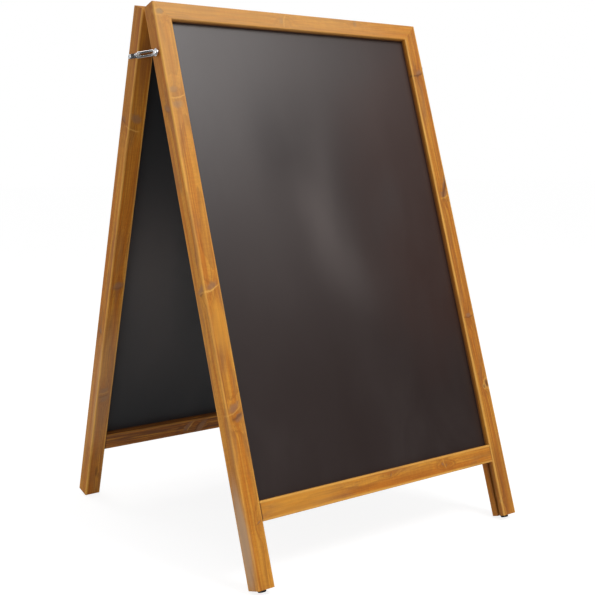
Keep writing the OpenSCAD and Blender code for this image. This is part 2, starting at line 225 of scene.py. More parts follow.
def knot_group(name):
    """A knot cut across. The distance q from its middle counts the second axis 0.8 times and the third Squash
    times. It is divided by the radius and made uneven by the wobble. Core is 1 inside, Edge the thin ring
    about it, and Halo the darker wood around, which is also the push that bends the grain."""
    inputs = {
        "Position": ("Vector", None),
        "Wobble": ("Float", 0.5),
        "Centre": ("Vector", None),
        "Radius": ("Float", 8.0),
        "Squash": ("Float", 1.0),
    }
    tree, given, sink = new_group(name, inputs, {"Core": "Float", "Edge": "Float", "Halo": "Float"})
    offset = vector_calc(tree, "SUBTRACT", given["Position"], given["Centre"])
    squash = add_node(tree, "CombineXYZ", {0: 1.0, 1: 0.8, 2: given["Squash"]}).outputs[0]
    distance = vector_calc(tree, "LENGTH", vector_calc(tree, "MULTIPLY", offset, squash))
    q = calc(tree, "DIVIDE", distance, given["Radius"])
    q = calc(tree, "MULTIPLY", q, calc(tree, "MULTIPLY_ADD", given["Wobble"], 1.1, 0.45))
    core = ramp_between(tree, q, 1.25, 0.45)
    edge = calc(tree, "MULTIPLY", ramp_between(tree, q, 0.8, 1.15), ramp_between(tree, q, 1.9, 1.2))
    halo = bell(tree, calc(tree, "MULTIPLY", q, q), 0.13)
    return send(tree, sink, {"Core": core, "Edge": edge, "Halo": halo})


def spike_group(name):
    """A branch cut along its length. With a the place across the grain and z along it, from the middle of the
    branch, u = z - slope a - 0.012 a a is the height above the branch. Line is the thin streak where u is
    near 0, Shade a soft stain beside it, and Halo the wood around, which is also the push that bends the
    grain. All fade with depth, and Line and Halo at the branch's ends too. Stain holds the place of the shade
    along a and u, and its size."""
    inputs = {
        "Position": ("Vector", None),
        "Wobble": ("Float", 0.5),
        "Centre": ("Vector", None),
        "Across": ("Vector", (1.0, 0.0, 0.0)),
        "Slope": ("Float", 0.3),
        "Half length": ("Float", 18.0),
        "Width": ("Float", 2.0),
        "Stain": ("Vector", (0.0, 9.0, 9.0)),
    }
    tree, given, sink = new_group(name, inputs, {"Line": "Float", "Shade": "Float", "Halo": "Float"})
    offset = vector_calc(tree, "SUBTRACT", given["Position"], given["Centre"])
    across = vector_calc(tree, "DOT_PRODUCT", offset, given["Across"])
    inwards = vector_calc(tree, "SUBTRACT", offset, vector_calc(tree, "SCALE", given["Across"], scale=across))
    depth = vector_calc(tree, "LENGTH", vector_calc(tree, "MULTIPLY", inwards, (1.0, 1.0, 0.0)))
    depth_fade = ramp_between(tree, depth, 22.0, 6.0)

    slope = calc(tree, "MULTIPLY", given["Slope"], across)
    height = calc(tree, "SUBTRACT", parts_of(tree, offset)["Z"], slope)
    height = calc(tree, "MULTIPLY_ADD", calc(tree, "MULTIPLY", across, across), -0.012, height)
    height = calc(tree, "ADD", height, calc(tree, "MULTIPLY_ADD", given["Wobble"], 7.0, -3.5))

    reach = calc(tree, "DIVIDE", calc(tree, "ABSOLUTE", across), given["Half length"])
    end_fade = ramp_between(tree, reach, 1.15, 0.6)
    thin = calc(tree, "DIVIDE", height, given["Width"])
    line = bell(tree, calc(tree, "MULTIPLY", thin, thin))
    line = calc(tree, "MULTIPLY", line, calc(tree, "MULTIPLY", end_fade, depth_fade))

    stain = parts_of(tree, given["Stain"])
    aside = calc(tree, "SUBTRACT", across, stain["X"])
    aside = calc(tree, "DIVIDE", aside, calc(tree, "MULTIPLY", stain["Z"], 1.5))
    above = calc(tree, "DIVIDE", calc(tree, "SUBTRACT", height, stain["Y"]), stain["Z"])
    spread = sum_of_squares(tree, aside, above)
    spread = calc(tree, "MULTIPLY", spread, calc(tree, "MULTIPLY_ADD", given["Wobble"], 2.0, 0.2))
    shade = calc(tree, "MULTIPLY", ramp_between(tree, spread, 1.5, 0.05), depth_fade)

    halo = bell(tree, sum_of_squares(tree, reach, calc(tree, "DIVIDE", height, 24.0)))
    halo = calc(tree, "MULTIPLY", halo, depth_fade)
    return send(tree, sink, {"Line": line, "Shade": shade, "Halo": halo})


def pine_group(name):
    """Growth rings of a board sawn from a tree. The ring number is the distance from the pith line, bent by
    slow noise and by the knots' swirl, over the ring width. Late wood darkens slowly across a ring and stops
    sharply, and each ring has its own strength. Bands are broad stripes of stain along the grain, Fibre fine
    streaks, Pores short dark dashes, Streaks long dark lines, Ripple faint bars across the grain, and Patch
    the slow drift over the piece."""
    inputs = {
        "Position": ("Vector", None),
        "Pith": ("Vector", None),
        "Seed": ("Vector", None),
        "Ring width": ("Float", 3.4),
        "Swirl": ("Float", 0.0),
    }
    tree, given, sink = new_group(name, inputs, {grain: "Float" for grain in GRAIN})
    seeded = vector_calc(tree, "ADD", given["Position"], given["Seed"])
    bend = noise(tree, seeded, (0.012, 0.012, 0.0021), output="Color")
    bend = vector_calc(tree, "SCALE", vector_calc(tree, "SUBTRACT", bend, (0.5, 0.5, 0.5)), scale=44.0)
    bent = vector_calc(tree, "ADD", given["Position"], bend)
    from_pith = vector_calc(tree, "SUBTRACT", bent, given["Pith"])
    radius = vector_calc(tree, "LENGTH", vector_calc(tree, "MULTIPLY", from_pith, (1.0, 1.0, 0.0)))
    radius = calc(tree, "ADD", radius, given["Swirl"])
    ragged = noise(tree, seeded, (0.3, 0.3, 0.014), 3.0, 0.6)
    ring = calc(tree, "MULTIPLY_ADD", ragged, 0.55, calc(tree, "DIVIDE", radius, given["Ring width"]))
    share = calc(tree, "FRACT", ring)
    late = calc(tree, "MULTIPLY", ramp_between(tree, share, 0.25, 0.9), ramp_between(tree, share, 1.0, 0.93))
    own = add_node(tree, "TexWhiteNoise", {"W": calc(tree, "FLOOR", ring)}, noise_dimensions="1D").outputs[0]
    late = calc(tree, "MULTIPLY", late, calc(tree, "MULTIPLY_ADD", own, 0.8, 0.2))

    swell = vector_calc(tree, "SCALE", (0.6, 0.6, 0.0), scale=given["Swirl"])
    swelled = vector_calc(tree, "ADD", seeded, swell)
    values = {
        "Late": late,
        "Bands": noise(tree, swelled, (0.095, 0.095, 0.0022), 3.0, 0.6, 0.15),
        "Fibre": noise(tree, swelled, (0.75, 0.75, 0.013), 4.0, 0.7),
        "Pores": noise(tree, seeded, (2.6, 2.6, 0.09)),
        "Streaks": noise(tree, swelled, (0.42, 0.42, 0.0045), 3.0, 0.55),
        "Ripple": noise(tree, seeded, (0.05, 0.05, 0.21), distortion=0.5),
        "Patch": noise(tree, seeded, (0.04, 0.04, 0.0065), 3.0, 0.62, 0.6),
    }
    return send(tree, sink, values)


def stain_group(group_name):
    """Colour of stained pine: broad bands, patches, rings, fibre, pores, streaks and ripple, a darker coat
    where the grain took up more stain, then the knots over them. Depth is the contrast of the grain and
    Darkness that of the darker coat."""
    inputs = {name: ("Color", None) for name in STAIN_COLOURS}
    inputs |= {name: ("Float", 0.0) for name in (*GRAIN, *KNOT_MARKS, "Depth", "Darkness")}
    tree, given, sink = new_group(group_name, inputs, {"Colour": "Color"})
    late = given["Late wood"]

    def times_depth(share):
        """A share of the grain's depth."""
        return calc(tree, "MULTIPLY", given["Depth"], share)

    def times(mark, share):
        """A share of a mask."""
        return calc(tree, "MULTIPLY", given[mark], share)

    def ramp(mark, low, high, most):
        """A mask eased from 0 at low to most at high."""
        return ramp_between(tree, given[mark], low, high, 0.0, most)

    coat = ramp_between(tree, given["Streaks"], 0.42, 0.56, 0.2, 1.2)
    pale_fibre = vector_calc(tree, "SCALE", given["Honey"], scale=1.15)
    layers = (
        (ramp("Bands", 0.38, 0.62, 1.0), given["Orange"]),
        (ramp("Patch", 0.48, 0.7, 0.75), given["Brown"]),
        (calc(tree, "MULTIPLY", given["Late"], times_depth(0.5), clamp=True), late),
        (ramp("Fibre", 0.46, 0.72, times_depth(0.5)), late),
        (ramp("Fibre", 0.46, 0.28, times_depth(0.45)), pale_fibre),
        (ramp("Pores", 0.6, 0.74, 0.3), vector_calc(tree, "SCALE", late, scale=0.6)),
        (ramp("Streaks", 0.6, 0.7, times_depth(0.55)), late),
        (ramp("Ripple", 0.42, 0.62, 0.12), late),
        (calc(tree, "MULTIPLY", coat, given["Darkness"], clamp=True), given["Coat"]),
        (times("Halo", 0.3), late),
        (times("Shade", 0.62), given["Stain"]),
        (times("Deep", 0.8), given["Knot"]),
        (times("Pale", 0.75), given["Curl"]),
        (times("Core", 0.8), mix_colours(tree, given["Dark"], given["Pale knot"], given["Knot"])),
        (times("Edge", 0.35), given["Curl"]),
    )
    wood = given["Honey"]
    for share, over in layers:
        wood = mix_colours(tree, share, wood, over)
    return send(tree, sink, {"Colour": wood})


def patch_group(name):
    """A ragged patch: an ellipsoid of a middle and half size, its edge broken up by a slow noise."""
    inputs = {
        "Position": ("Vector", None),
        "Ragged": ("Float", 0.5),
        "Middle": ("Vector", None),
        "Half size": ("Vector", (20.0, 20.0, 20.0)),
        "Strength": ("Float", 0.5),
    }
    tree, given, sink = new_group(name, inputs, {"Share": "Float"})
    offset = vector_calc(tree, "SUBTRACT", given["Position"], given["Middle"])
    reach = vector_calc(tree, "LENGTH", vector_calc(tree, "DIVIDE", offset, given["Half size"]))
    reach = calc(tree, "MULTIPLY_ADD", given["Ragged"], 0.9, reach)
    return send(tree, sink, {"Share": ramp_between(tree, reach, 1.75, 0.95, 0.0, given["Strength"])})


def arris_group(name):
    """1 on the four long arrises of a square section: the product of two ramps near its faces."""
    tree, given, sink = new_group(name, {"Position": ("Vector", None)}, {"Arris": "Float"})
    parts = parts_of(tree, given["Position"])
    start = HALF_SECTION_MM - ARRIS_MM
    end = HALF_SECTION_MM - ARRIS_MM / 3
    ramps = [ramp_between(tree, calc(tree, "ABSOLUTE", parts[axis]), start, end) for axis in ("X", "Y")]
    return send(tree, sink, {"Arris": calc(tree, "MULTIPLY", *ramps)})


def smudge_group(name):
    """Slow wiping marks: long soft noise along one direction, and round soft noise, both from 0 to 1."""
    outputs = {"Wipes": "Float", "Clouds": "Float"}
    tree, given, sink = new_group(name, {"Position": ("Vector", None)}, outputs)
    wipes = noise(tree, given["Position"], (9.0, 9.0, 2.2), 4.0, 0.6, 0.8)
    clouds = noise(tree, given["Position"], (2.1, 2.1, 1.6), 3.0, 0.55, 0.3)
    wipes = ramp_between(tree, wipes, 0.38, 0.7)
    return send(tree, sink, {"Wipes": wipes, "Clouds": ramp_between(tree, clouds, 0.35, 0.7)})


def smear_group(name):
    """A smear in the chalk colour, for wiped chalk and for painted reflection: a bell of the distances along
    and aside of its direction, bent aside by the wobble. Along and Aside are the two unit directions over the
    half length and the half width."""
    inputs = {
        "Position": ("Vector", None),
        "Wobble": ("Float", 0.5),
        "Middle": ("Vector", None),
        "Along": ("Vector", None),
        "Aside": ("Vector", None),
        "Strength": ("Float", 1.0),
    }
    tree, given, sink = new_group(name, inputs, {"Smear": "Float"})
    offset = vector_calc(tree, "SUBTRACT", given["Position"], given["Middle"])
    along = vector_calc(tree, "DOT_PRODUCT", offset, given["Along"])
    aside = vector_calc(tree, "DOT_PRODUCT", offset, given["Aside"])
    aside = calc(tree, "ADD", aside, calc(tree, "MULTIPLY_ADD", given["Wobble"], 0.9, -0.45))
    shape = bell(tree, sum_of_squares(tree, along, aside))
    return send(tree, sink, {"Smear": calc(tree, "MULTIPLY", shape, given["Strength"])})


def plating_group(name):
    """Zinc plating: soft clouds and fine rolling lines, on a place in millimetres."""
    outputs = {"Clouds": "Float", "Lines": "Float"}
    tree, given, sink = new_group(name, {"Position": ("Vector", None)}, outputs)
    clouds = noise(tree, given["Position"], (0.16, 0.16, 0.16), 3.0, 0.6, 0.4)
    return send(tree, sink, {"Clouds": clouds, "Lines": noise(tree, given["Position"], (2.5, 0.12, 5.5))})


def speckle_group(name):
    """Slow and fine round noise on a place in millimetres. Fineness is the fine one's frequency."""
    inputs = {"Position": ("Vector", None), "Fineness": ("Float", 2.0)}
    tree, given, sink = new_group(name, inputs, {"Slow": "Float", "Fine": "Float"})
    slow = noise(tree, given["Position"], (0.2, 0.2, 0.2))
    close = vector_calc(tree, "SCALE", given["Position"], scale=given["Fineness"])
    return send(tree, sink, {"Slow": slow, "Fine": noise(tree, close, (1.0, 1.0, 1.0), 3.0)})


GROUP_BUILDERS = {
    "Knot": knot_group,
    "Spike knot": spike_group,
    "Pine": pine_group,
    "Pine stain": stain_group,
    "Ragged patch": patch_group,
    "Arris": arris_group,
    "Smudge": smudge_group,
    "Smear": smear_group,
    "Plating": plating_group,
    "Speckle": speckle_group,
}


def add_patch(tree, shared, base, tone, middle, half_size, strength):
    """Base with a tone laid over it in a ragged patch. shared holds the position and the ragged noise."""
    inputs = {**shared, "Middle": middle, "Half size": half_size, "Strength": strength}
    share = use_group(tree, "Ragged patch", inputs)["Share"]
    return mix_colours(tree, share, base, opaque(tone))


# ---- Settings ----


def number(name, description, default, **limits):
    """A number that a user can change."""
    return bpy.props.FloatProperty(name=name, description=description, default=default, **limits)


def share_of_one(name, description, default):
    """A number from 0 to 1 that a user can change."""
    return number(name, description, default, min=0.0, max=1.0, subtype="FACTOR")


def angle(name, description, degrees):
    """An angle that a user can change, with its default given in degrees."""
    return number(name, description, math.radians(degrees), unit="ROTATION")


def triple(name, description, default, **limits):
    """Three numbers that a user can change together."""
    return bpy.props.FloatVectorProperty(name=name, description=description, default=default, **limits)


def swatch(name, description, default):
    """A colour that a user can change."""
    return triple(name, description, default, min=0.0, max=1.0, subtype="COLOR")


class BoardTimberSettings(bpy.types.PropertyGroup):
    """Colours and finish of the stained pine"""

    honey: swatch("Honey", "Stained colour of the palest wood", (0.66, 0.285, 0.03))
    orange: swatch("Orange", "Stained colour of most of the wood", (0.53, 0.17, 0.01))
    brown: swatch("Brown", "Stained colour of the dull brown bands and patches", (0.37, 0.155, 0.042))
    late: swatch("Late wood", "Stained colour of the dark part of a growth ring", (0.25, 0.072, 0.009))
    coat: swatch("Darker coat", "Colour of the wood where it took up more stain", (0.17, 0.061, 0.02))
    knot: swatch("Knot", "Colour of a dark knot", (0.13, 0.042, 0.012))
    pale_knot: swatch("Pale knot", "Colour of a sound, greyish knot", (0.30, 0.205, 0.105))
    stain: swatch("Knot stain", "Colour of the greyish wood beside a knot", (0.27, 0.145, 0.08))
    bleached: swatch("Bleached", "Colour of wood bleached by weather", (0.48, 0.32, 0.2))
    # Painted sheen: the paler, greyer wood at the top of the front frame stands in for light glancing off the
    # satin stain.
    painted_sheen: swatch("Painted sheen", "Colour of wood that the sun has made paler", (0.62, 0.345, 0.115))
    # Curl also gives the pale arrises, partly rubbed stain and partly painted highlight on the rounded edges.
    curl: swatch("Curl", "Colour of the pale curl at a knot and of the rubbed arrises", (0.80, 0.43, 0.09))
    ring_width_mm: number("Ring width", "Usual width of a ring, in millimetres", 3.4, min=1.0, max=8.0)
    roughness: share_of_one("Roughness", "Roughness of the satin stain", 0.52)
    edge: number("Eased edge", "Radius that soft light gives to the sawn edges", 0.0008, unit="LENGTH")


class BoardPanelSettings(bpy.types.PropertyGroup):
    """Colours and finish of the chalk panels"""

    front: swatch("Front panel", "Colour of the front chalk surface", (0.0175, 0.0075, 0.0058))
    rear: swatch("Rear panel", "Colour of the rear chalk surface", (0.018, 0.02, 0.023))
    chalk: swatch("Chalk haze", "Colour of the faint wiped chalk", (0.33, 0.28, 0.265))
    warm: swatch("Warm tint", "Colour of the redder paint along the right edge", (0.029, 0.0085, 0.0045))
    haze: share_of_one("Haze", "How much chalk haze is left", 0.02)
    # The smears are partly wiped chalk and partly painted reflection.
    smear: share_of_one("Smear", "Strength of the wiped smears", 0.12)
    roughness: share_of_one("Roughness", "Roughness of the chalk surface", 0.37)


class BoardMetalSettings(bpy.types.PropertyGroup):
    """Finish of the zinc plating, and the thread of the studs"""

    zinc: swatch("Zinc", "Colour of the bright zinc plating", (0.70, 0.71, 0.73))
    roughness: share_of_one("Roughness", "Roughness of the zinc plating", 0.3)
    thread_pitch_mm: number("Thread pitch", "Pitch of the studs, in millimetres", 0.7, min=0.4, max=1.25)


class BoardSmallPartSettings(bpy.types.PropertyGroup):
    """Colours of the feet, the glide washers and the dowels"""

    rubber: swatch("Rubber", "Colour of the feet", (0.022, 0.02, 0.019))
    nylon: swatch("Nylon", "Colour of the glide washers", (0.66, 0.64, 0.57))
    beech: swatch("Beech", "Colour of the dowels", (0.55, 0.36, 0.2))


class BoardStageSettings(bpy.types.PropertyGroup):
    """Place and lens of the camera, and the brightness of the surroundings"""

    camera_place: triple(
        "Camera place", "Where the camera stands", (-1.420, -1.942, 0.8328), subtype="TRANSLATION"
    )
    camera_yaw: angle("Camera yaw", "Turn of the view to the right of +Y", 36.765)
    camera_pitch: angle("Camera pitch", "Tilt of the view above level", -7.659)
    camera_roll: angle("Camera roll", "Roll of the camera", -0.344)
    lens_mm: number("Lens", "Focal length on a 36 mm sensor, in millimetres", 61.92, min=20.0, max=200.0)
    world_level: number("World level", "Brightness of the even light all around", 0.5, min=0.0, max=2.0)
    gloss_horizon: number("Gloss at the horizon", "Horizon's brightness in shiny surfaces", 0.07, min=0.0)
    gloss_zenith: number("Gloss overhead", "Sky's brightness in shiny surfaces", 1.0, min=0.0)


# ---- Timber ----

# A piece's own axes: a leg's third axis runs up from the fold axis and its first to the right. A rail's third
# axis runs to the right from its middle and its first up. The second runs to the rear on both.

# For each piece: the pith's line across and through it (far off gives straight grain), the ring width as a
# share of the usual, the depth of the grain, the darkness of the stain and the paleness of the arrises, which
# is partly rubbed stain and partly painted highlight.
BOARDS = {
    "front_left_stile": (7.0, 58.0, 1.25, 0.86, 0.0, 0.6),
    "front_right_stile": (-46.0, 40.0, 1.1, 0.95, 0.25, 1.0),
    "front_top_rail": (22.0, 60.0, 1.0, 0.9, 0.0, 0.3),
    "front_bottom_rail": (-14.0, 38.0, 1.15, 0.78, 0.0, 1.0),
    "rear_left_stile": (30.0, -52.0, 1.2, 0.95, 0.0, 0.9),
    "rear_right_stile": (-24.0, -34.0, 1.0, 0.9, 0.05, 0.9),
    "rear_top_rail": (18.0, -60.0, 1.1, 0.9, 0.1, 0.6),
    "rear_bottom_rail": (-8.0, -30.0, 1.3, 2.0, 0.82, 0.3),
}

# The faces of a piece: the axis that runs across each, the axis that it is square to and its place on that.
FACES = {
    "front": (0, 1, -HALF_SECTION_MM),
    "back": (0, 1, HALF_SECTION_MM),
    "left": (1, 0, -HALF_LEG_WIDTH_MM),
    "right": (1, 0, HALF_LEG_WIDTH_MM),
}

# Branches cut along their length: face, place across it and along the piece, slope, half length and width of
# the line, stain (place along and above the line, then size), and tone of the line, from -1 for dark to 1 for
# pale.
SPIKES = {
    "front_left_stile": (
        ("front", 1.0, -211.0, 0.26, 19.0, 1.7, (-4.0, -13.0, 10.0), 0.9),
        ("front", -4.0, -198.0, 0.2, 14.0, 1.6, (-4.0, 5.0, 8.0), -0.25),
        ("front", -4.0, -613.0, 0.3, 20.0, 1.8, (4.0, 8.0, 9.0), 0.9),
        ("left", -8.0, -617.0, -0.4, 10.0, 2.6, (2.0, 8.0, 9.0), -0.8),
        ("front", -4.0, -860.0, 0.42, 19.0, 1.8, (3.0, 9.0, 10.0), 0.5),
        ("front", 3.0, -869.0, 0.45, 15.0, 3.0, (4.0, -3.0, 8.0), -0.75),
        ("left", -2.0, -236.0, 0.5, 8.0, 2.4, (0.0, 6.0, 8.0), -0.4),
        ("front", 9.0, -1078.0, 0.5, 8.0, 1.0, (0.0, 2.0, 3.0), -0.45),
    ),
    "front_right_stile": (
        ("front", -5.0, -133.0, 0.2, 24.0, 2.6, (8.0, 5.0, 7.0), -1.0),
        ("front", 11.0, -410.0, 2.2, 17.0, 9.0, (2.0, 8.0, 10.0), -1.0),
        ("front", 2.0, -441.0, 0.3, 14.0, 1.8, (0.0, 9.0, 9.0), 0.5),
        ("front", -1.0, -735.0, 0.1, 17.0, 1.5, (0.0, 5.0, 6.0), -0.7),
    ),
    "front_top_rail": (
        ("front", 0.0, -36.0, 0.3, 17.0, 1.6, (0.0, -7.0, 6.0), 0.7),
        ("front", 9.0, 169.0, 0.1, 8.0, 1.4, (0.0, 4.0, 6.0), -0.5),
    ),
    "front_bottom_rail": (
        ("front", 3.0, 174.0, -0.3, 12.0, 1.5, (0.0, -5.0, 3.0), 0.45),
        ("front", -1.0, 180.0, 0.5, 6.0, 1.0, (0.0, 0.0, 2.0), -0.4),
        ("front", 8.0, 14.0, 0.5, 7.0, 1.2, (0.0, 2.0, 2.5), -0.55),
    ),
    "rear_left_stile": (
        ("front", -9.0, -263.0, -0.35, 18.0, 1.8, (6.0, 26.0, 11.0), 0.8),
        ("left", 6.0, -250.0, 0.3, 11.0, 2.0, (0.0, 5.0, 7.0), -0.8),
        ("front", 2.0, -640.0, 0.2, 14.0, 2.4, (0.0, 6.0, 11.0), -0.4),
        ("front", -3.0, -924.0, 0.15, 15.0, 2.0, (4.0, -8.0, 9.0), -0.8),
        ("front", -3.0, -916.0, 0.1, 14.0, 1.6, (0.0, 8.0, 8.0), 0.5),
        ("back", -4.0, -871.0, 0.3, 17.0, 1.8, (0.0, 8.0, 9.0), 0.8),
        ("left", 2.0, -760.0, 0.2, 12.0, 1.6, (0.0, 5.0, 7.0), -0.5),
    ),
    "rear_right_stile": (
        ("back", 3.0, -733.0, -0.3, 18.0, 1.8, (0.0, 9.0, 9.0), 0.8),
        ("back", -4.0, -505.0, 0.2, 16.0, 2.0, (0.0, 5.0, 7.0), -0.8),
        ("right", 2.0, -620.0, 0.3, 15.0, 1.8, (0.0, 7.0, 8.0), 0.6),
    ),
    "rear_top_rail": (("back", 3.0, 204.0, -0.3, 16.0, 1.7, (0.0, 7.0, 7.0), 0.7),),
    "rear_bottom_rail": (
        ("front", -3.0, -62.0, 0.5, 15.0, 3.2, (0.0, 10.0, 14.0), -1.0),
        ("front", 3.0, -84.0, 0.7, 15.0, 2.0, (0.0, -8.0, 10.0), 0.6),
        ("back", 4.0, 56.0, 0.3, 16.0, 2.0, (0.0, 8.0, 8.0), 0.6),
    ),
}

# Knots cut across: middle, radius, squash along the grain and darkness, 0 for greyish and 1 for dark.
KNOTS = {
    "front_left_stile": (((-7.0, -17.0, -25.0), 10.0, 1.4, 0.15),),
    "front_right_stile": (
        ((14.0, -18.0, -896.0), 7.0, 0.7, 1.0),
        ((4.0, -18.0, -902.0), 4.0, 0.9, 0.9),
        ((-20.0, -20.0, -1169.0), 4.0, 1.0, 0.5),
    ),
    "rear_left_stile": (((2.0, 19.0, -502.0), 7.5, 0.9, 0.9),),
    "rear_right_stile": (((2.0, 19.0, -318.0), 7.0, 0.9, 0.8), ((12.0, 15.0, -1010.0), 5.5, 0.8, 0.8)),
    "rear_top_rail": (((3.0, 17.0, -151.0), 6.0, 0.9, 0.8),),
    "rear_bottom_rail": (((2.0, 19.0, 133.0), 7.0, 0.9, 0.85),),
}

# Patches with a tone of their own: middle, half size, the tone's name among the settings, and strength. Some
# are
# painted light: painted shade at the tops of the left legs and at the bottom rails' ends, painted sheen at
# the top of the front frame and painted highlight on the front-left arris and the bottom rail.
PATCHES = {
    "front_left_stile": (
        ((-20.0, 2.0, -1100.0), (9.0, 20.0, 120.0), "bleached", 0.8),
        # Painted sheen at the top of the front face.
        ((2.0, -20.0, -90.0), (30.0, 10.0, 200.0), "painted_sheen", 0.34),
        # Painted shade: darker top of the outer side, where less light reaches.
        ((-20.0, 2.0, -60.0), (12.0, 24.0, 170.0), "late", 0.38),
        ((-15.0, -19.0, -775.0), (1.8, 4.0, 100.0), "late", 0.6),
        # Painted highlight: a pale line along the front face's left arris.
        ((-17.0, -18.0, -180.0), (5.0, 5.0, 330.0), "curl", 0.3),
        ((2.0, -19.0, -690.0), (22.0, 12.0, 60.0), "honey", 0.6),
    ),
    "front_right_stile": (((2.0, -19.0, -1120.0), (30.0, 40.0, 90.0), "late", 0.3),),
    # Painted sheen over the top rail's front face.
    "front_top_rail": (((0.0, -19.0, -120.0), (60.0, 30.0, 420.0), "painted_sheen", 0.5),),
    "front_bottom_rail": (
        # Painted highlight: paler left part of the rail's front face and upper arris.
        ((0.0, -19.0, -230.0), (40.0, 30.0, 110.0), "honey", 0.5),
        # Painted shade: thin dark lines at the rail's ends, where the joint with the stiles lies in shade.
        ((0.0, -19.0, -327.0), (60.0, 60.0, 3.2), "knot", 0.85),
        ((0.0, -19.0, 327.0), (60.0, 60.0, 3.0), "knot", 0.6),
    ),
    "rear_left_stile": (
        # Painted shade: darker tops of the outer side and of the face towards the front frame, in the narrow
        # space between the frames.
        ((-20.0, 0.0, -90.0), (12.0, 26.0, 210.0), "late", 0.42),
        ((0.0, -20.0, -60.0), (30.0, 12.0, 150.0), "late", 0.45),
        ((0.0, -20.0, -900.0), (30.0, 16.0, 190.0), "bleached", 0.3),
        ((-20.0, 0.0, -930.0), (12.0, 26.0, 190.0), "bleached", 0.16),
        ((3.0, -20.0, -1138.0), (4.0, 6.0, 16.0), "knot", 0.55),
        ((9.0, -20.0, -1150.0), (3.0, 6.0, 9.0), "knot", 0.35),
    ),
    "rear_bottom_rail": (
        # Painted shade: thin dark lines at the rail's ends, where the joint with the stiles lies in shade.
        ((0.0, 0.0, -327.0), (60.0, 60.0, 3.0), "knot", 0.8),
        ((0.0, 0.0, 327.0), (60.0, 60.0, 3.0), "knot", 0.8),
    ),
}

# For each part: about where its side towards the panel is, then the middle and half length of the painted
# shade there, the shade of the recess beside the panel.
INNER_SIDES = {
    "left_stile": (HALF_SECTION_MM, -540.0, 800.0),
    "right_stile": (-HALF_SECTION_MM, -540.0, 800.0),
    "top_rail": (-HALF_SECTION_MM, 0.0, 600.0),
    "bottom_rail": (HALF_SECTION_MM, 0.0, 600.0),
}
# How far that painted shade reaches into the timber and to both sides of the groove, and its strength.
GROOVE_SHADE = (9.0, 10.0, 0.86)


def piece_axes(node_name, frame_name, is_rail):
    """Rotation to a piece's own axes, with the grain along the third, and its origin there, in metres. The
    origin of a leg is on its centre line level with the fold axis, and that of a rail is its middle."""
    turn = Matrix.Rotation(HALF_ANGLE if frame_name == "front" else -HALF_ANGLE, 3, "X")
    low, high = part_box(node_name)
    origin = turn @ ((low + high) / 2)
    if is_rail:
        swap = Matrix(((0, 0, 1), (0, 1, 0), (1, 0, 0)))
        return swap @ turn, swap @ origin
    origin.z = (turn @ FOLD_AXIS).z
    return turn, origin


def piece_position(tree, turn, origin):
    """Place on a piece's own axes, in millimetres."""
    place = object_place(tree)
    axes = [vector_calc(tree, "DOT_PRODUCT", place, tuple(row * MM for row in turn[i])) for i in range(3)]
    local = add_node(tree, "CombineXYZ", dict(enumerate(axes))).outputs[0]
    return vector_calc(tree, "SUBTRACT", local, tuple(origin * MM))


def branch_place(face, across, along):
    """Middle of a branch and the direction across the grain on its face."""
    free_axis, fixed_axis, depth = FACES[face]
    middle = Vector((0.0, 0.0, along))
    middle[free_axis] = across
    middle[fixed_axis] = depth
    direction = Vector((0.0, 0.0, 0.0))
    direction[free_axis] = 1.0
    return {"Centre": middle, "Across": direction}


def add_knots(tree, position, seed, node_name):
    """All the knots of a piece as masks: Core, Edge, Dark (the dark share of the cores), Shade, Pale and Deep
    (the light and the dark lines), Halo, and Swirl, the sum of the pushes on the grain."""
    masks = {name: 0.0 for name in (*KNOT_MARKS, "Swirl")}

    def keep_greater(name, value):
        """Makes a mask the greater of itself and a value."""
        masks[name] = calc(tree, "MAXIMUM", masks[name], value)

    def add_times(name, value, factor):
        """Adds a value times a factor to a mask."""
        masks[name] = calc(tree, "MULTIPLY_ADD", value, factor, masks[name])

    seeded = vector_calc(tree, "ADD", position, seed)
    shared = {"Position": position, "Wobble": noise(tree, seeded, (0.11, 0.11, 0.11), 3.0, 0.55)}
    for centre, radius, squash, darkness in KNOTS.get(node_name, ()):
        inputs = {**shared, "Centre": centre, "Radius": radius, "Squash": squash}
        knot = use_group(tree, "Knot", inputs)
        for name in ("Core", "Edge", "Halo"):
            keep_greater(name, knot[name])
        add_times("Dark", knot["Core"], darkness)
        add_times("Swirl", knot["Halo"], 1.5 * radius)
    for face, across, along, slope, half_length, width, stain, tone in SPIKES[node_name]:
        inputs = {**shared, **branch_place(face, across, along), "Slope": slope}
        inputs |= {"Half length": half_length, "Width": width, "Stain": stain}
        spike = use_group(tree, "Spike knot", inputs)
        for name in ("Shade", "Halo"):
            keep_greater(name, spike[name])
        keep_greater("Pale" if tone > 0 else "Deep", calc(tree, "MULTIPLY", spike["Line"], abs(tone)))
        add_times("Swirl", spike["Halo"], 7.0)
    return masks


def groove_place(frame_name, turn, origin):
    """Place of the panel's mid-plane along the second of a piece's own axes, in millimetres."""
    low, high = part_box(f"{frame_name}_chalkboard")
    return ((turn @ ((low + high) / 2)).y - origin.y) * MM


def end_grain(tree, settings, late, turn, side_colour):
    """Colour with the darker end grain on the faces square to the grain, and the mask of those faces."""
    normal = add_node(tree, "TexCoord").outputs["Normal"]
    facing = calc(tree, "ABSOLUTE", vector_calc(tree, "DOT_PRODUCT", normal, tuple(turn[2])))
    is_end = ramp_between(tree, facing, 0.6, 0.9)
    end_colour = mix_colours(tree, late, opaque(settings.brown, 0.6), opaque(settings.late, 0.5))
    return mix_colours(tree, is_end, side_colour, end_colour), is_end


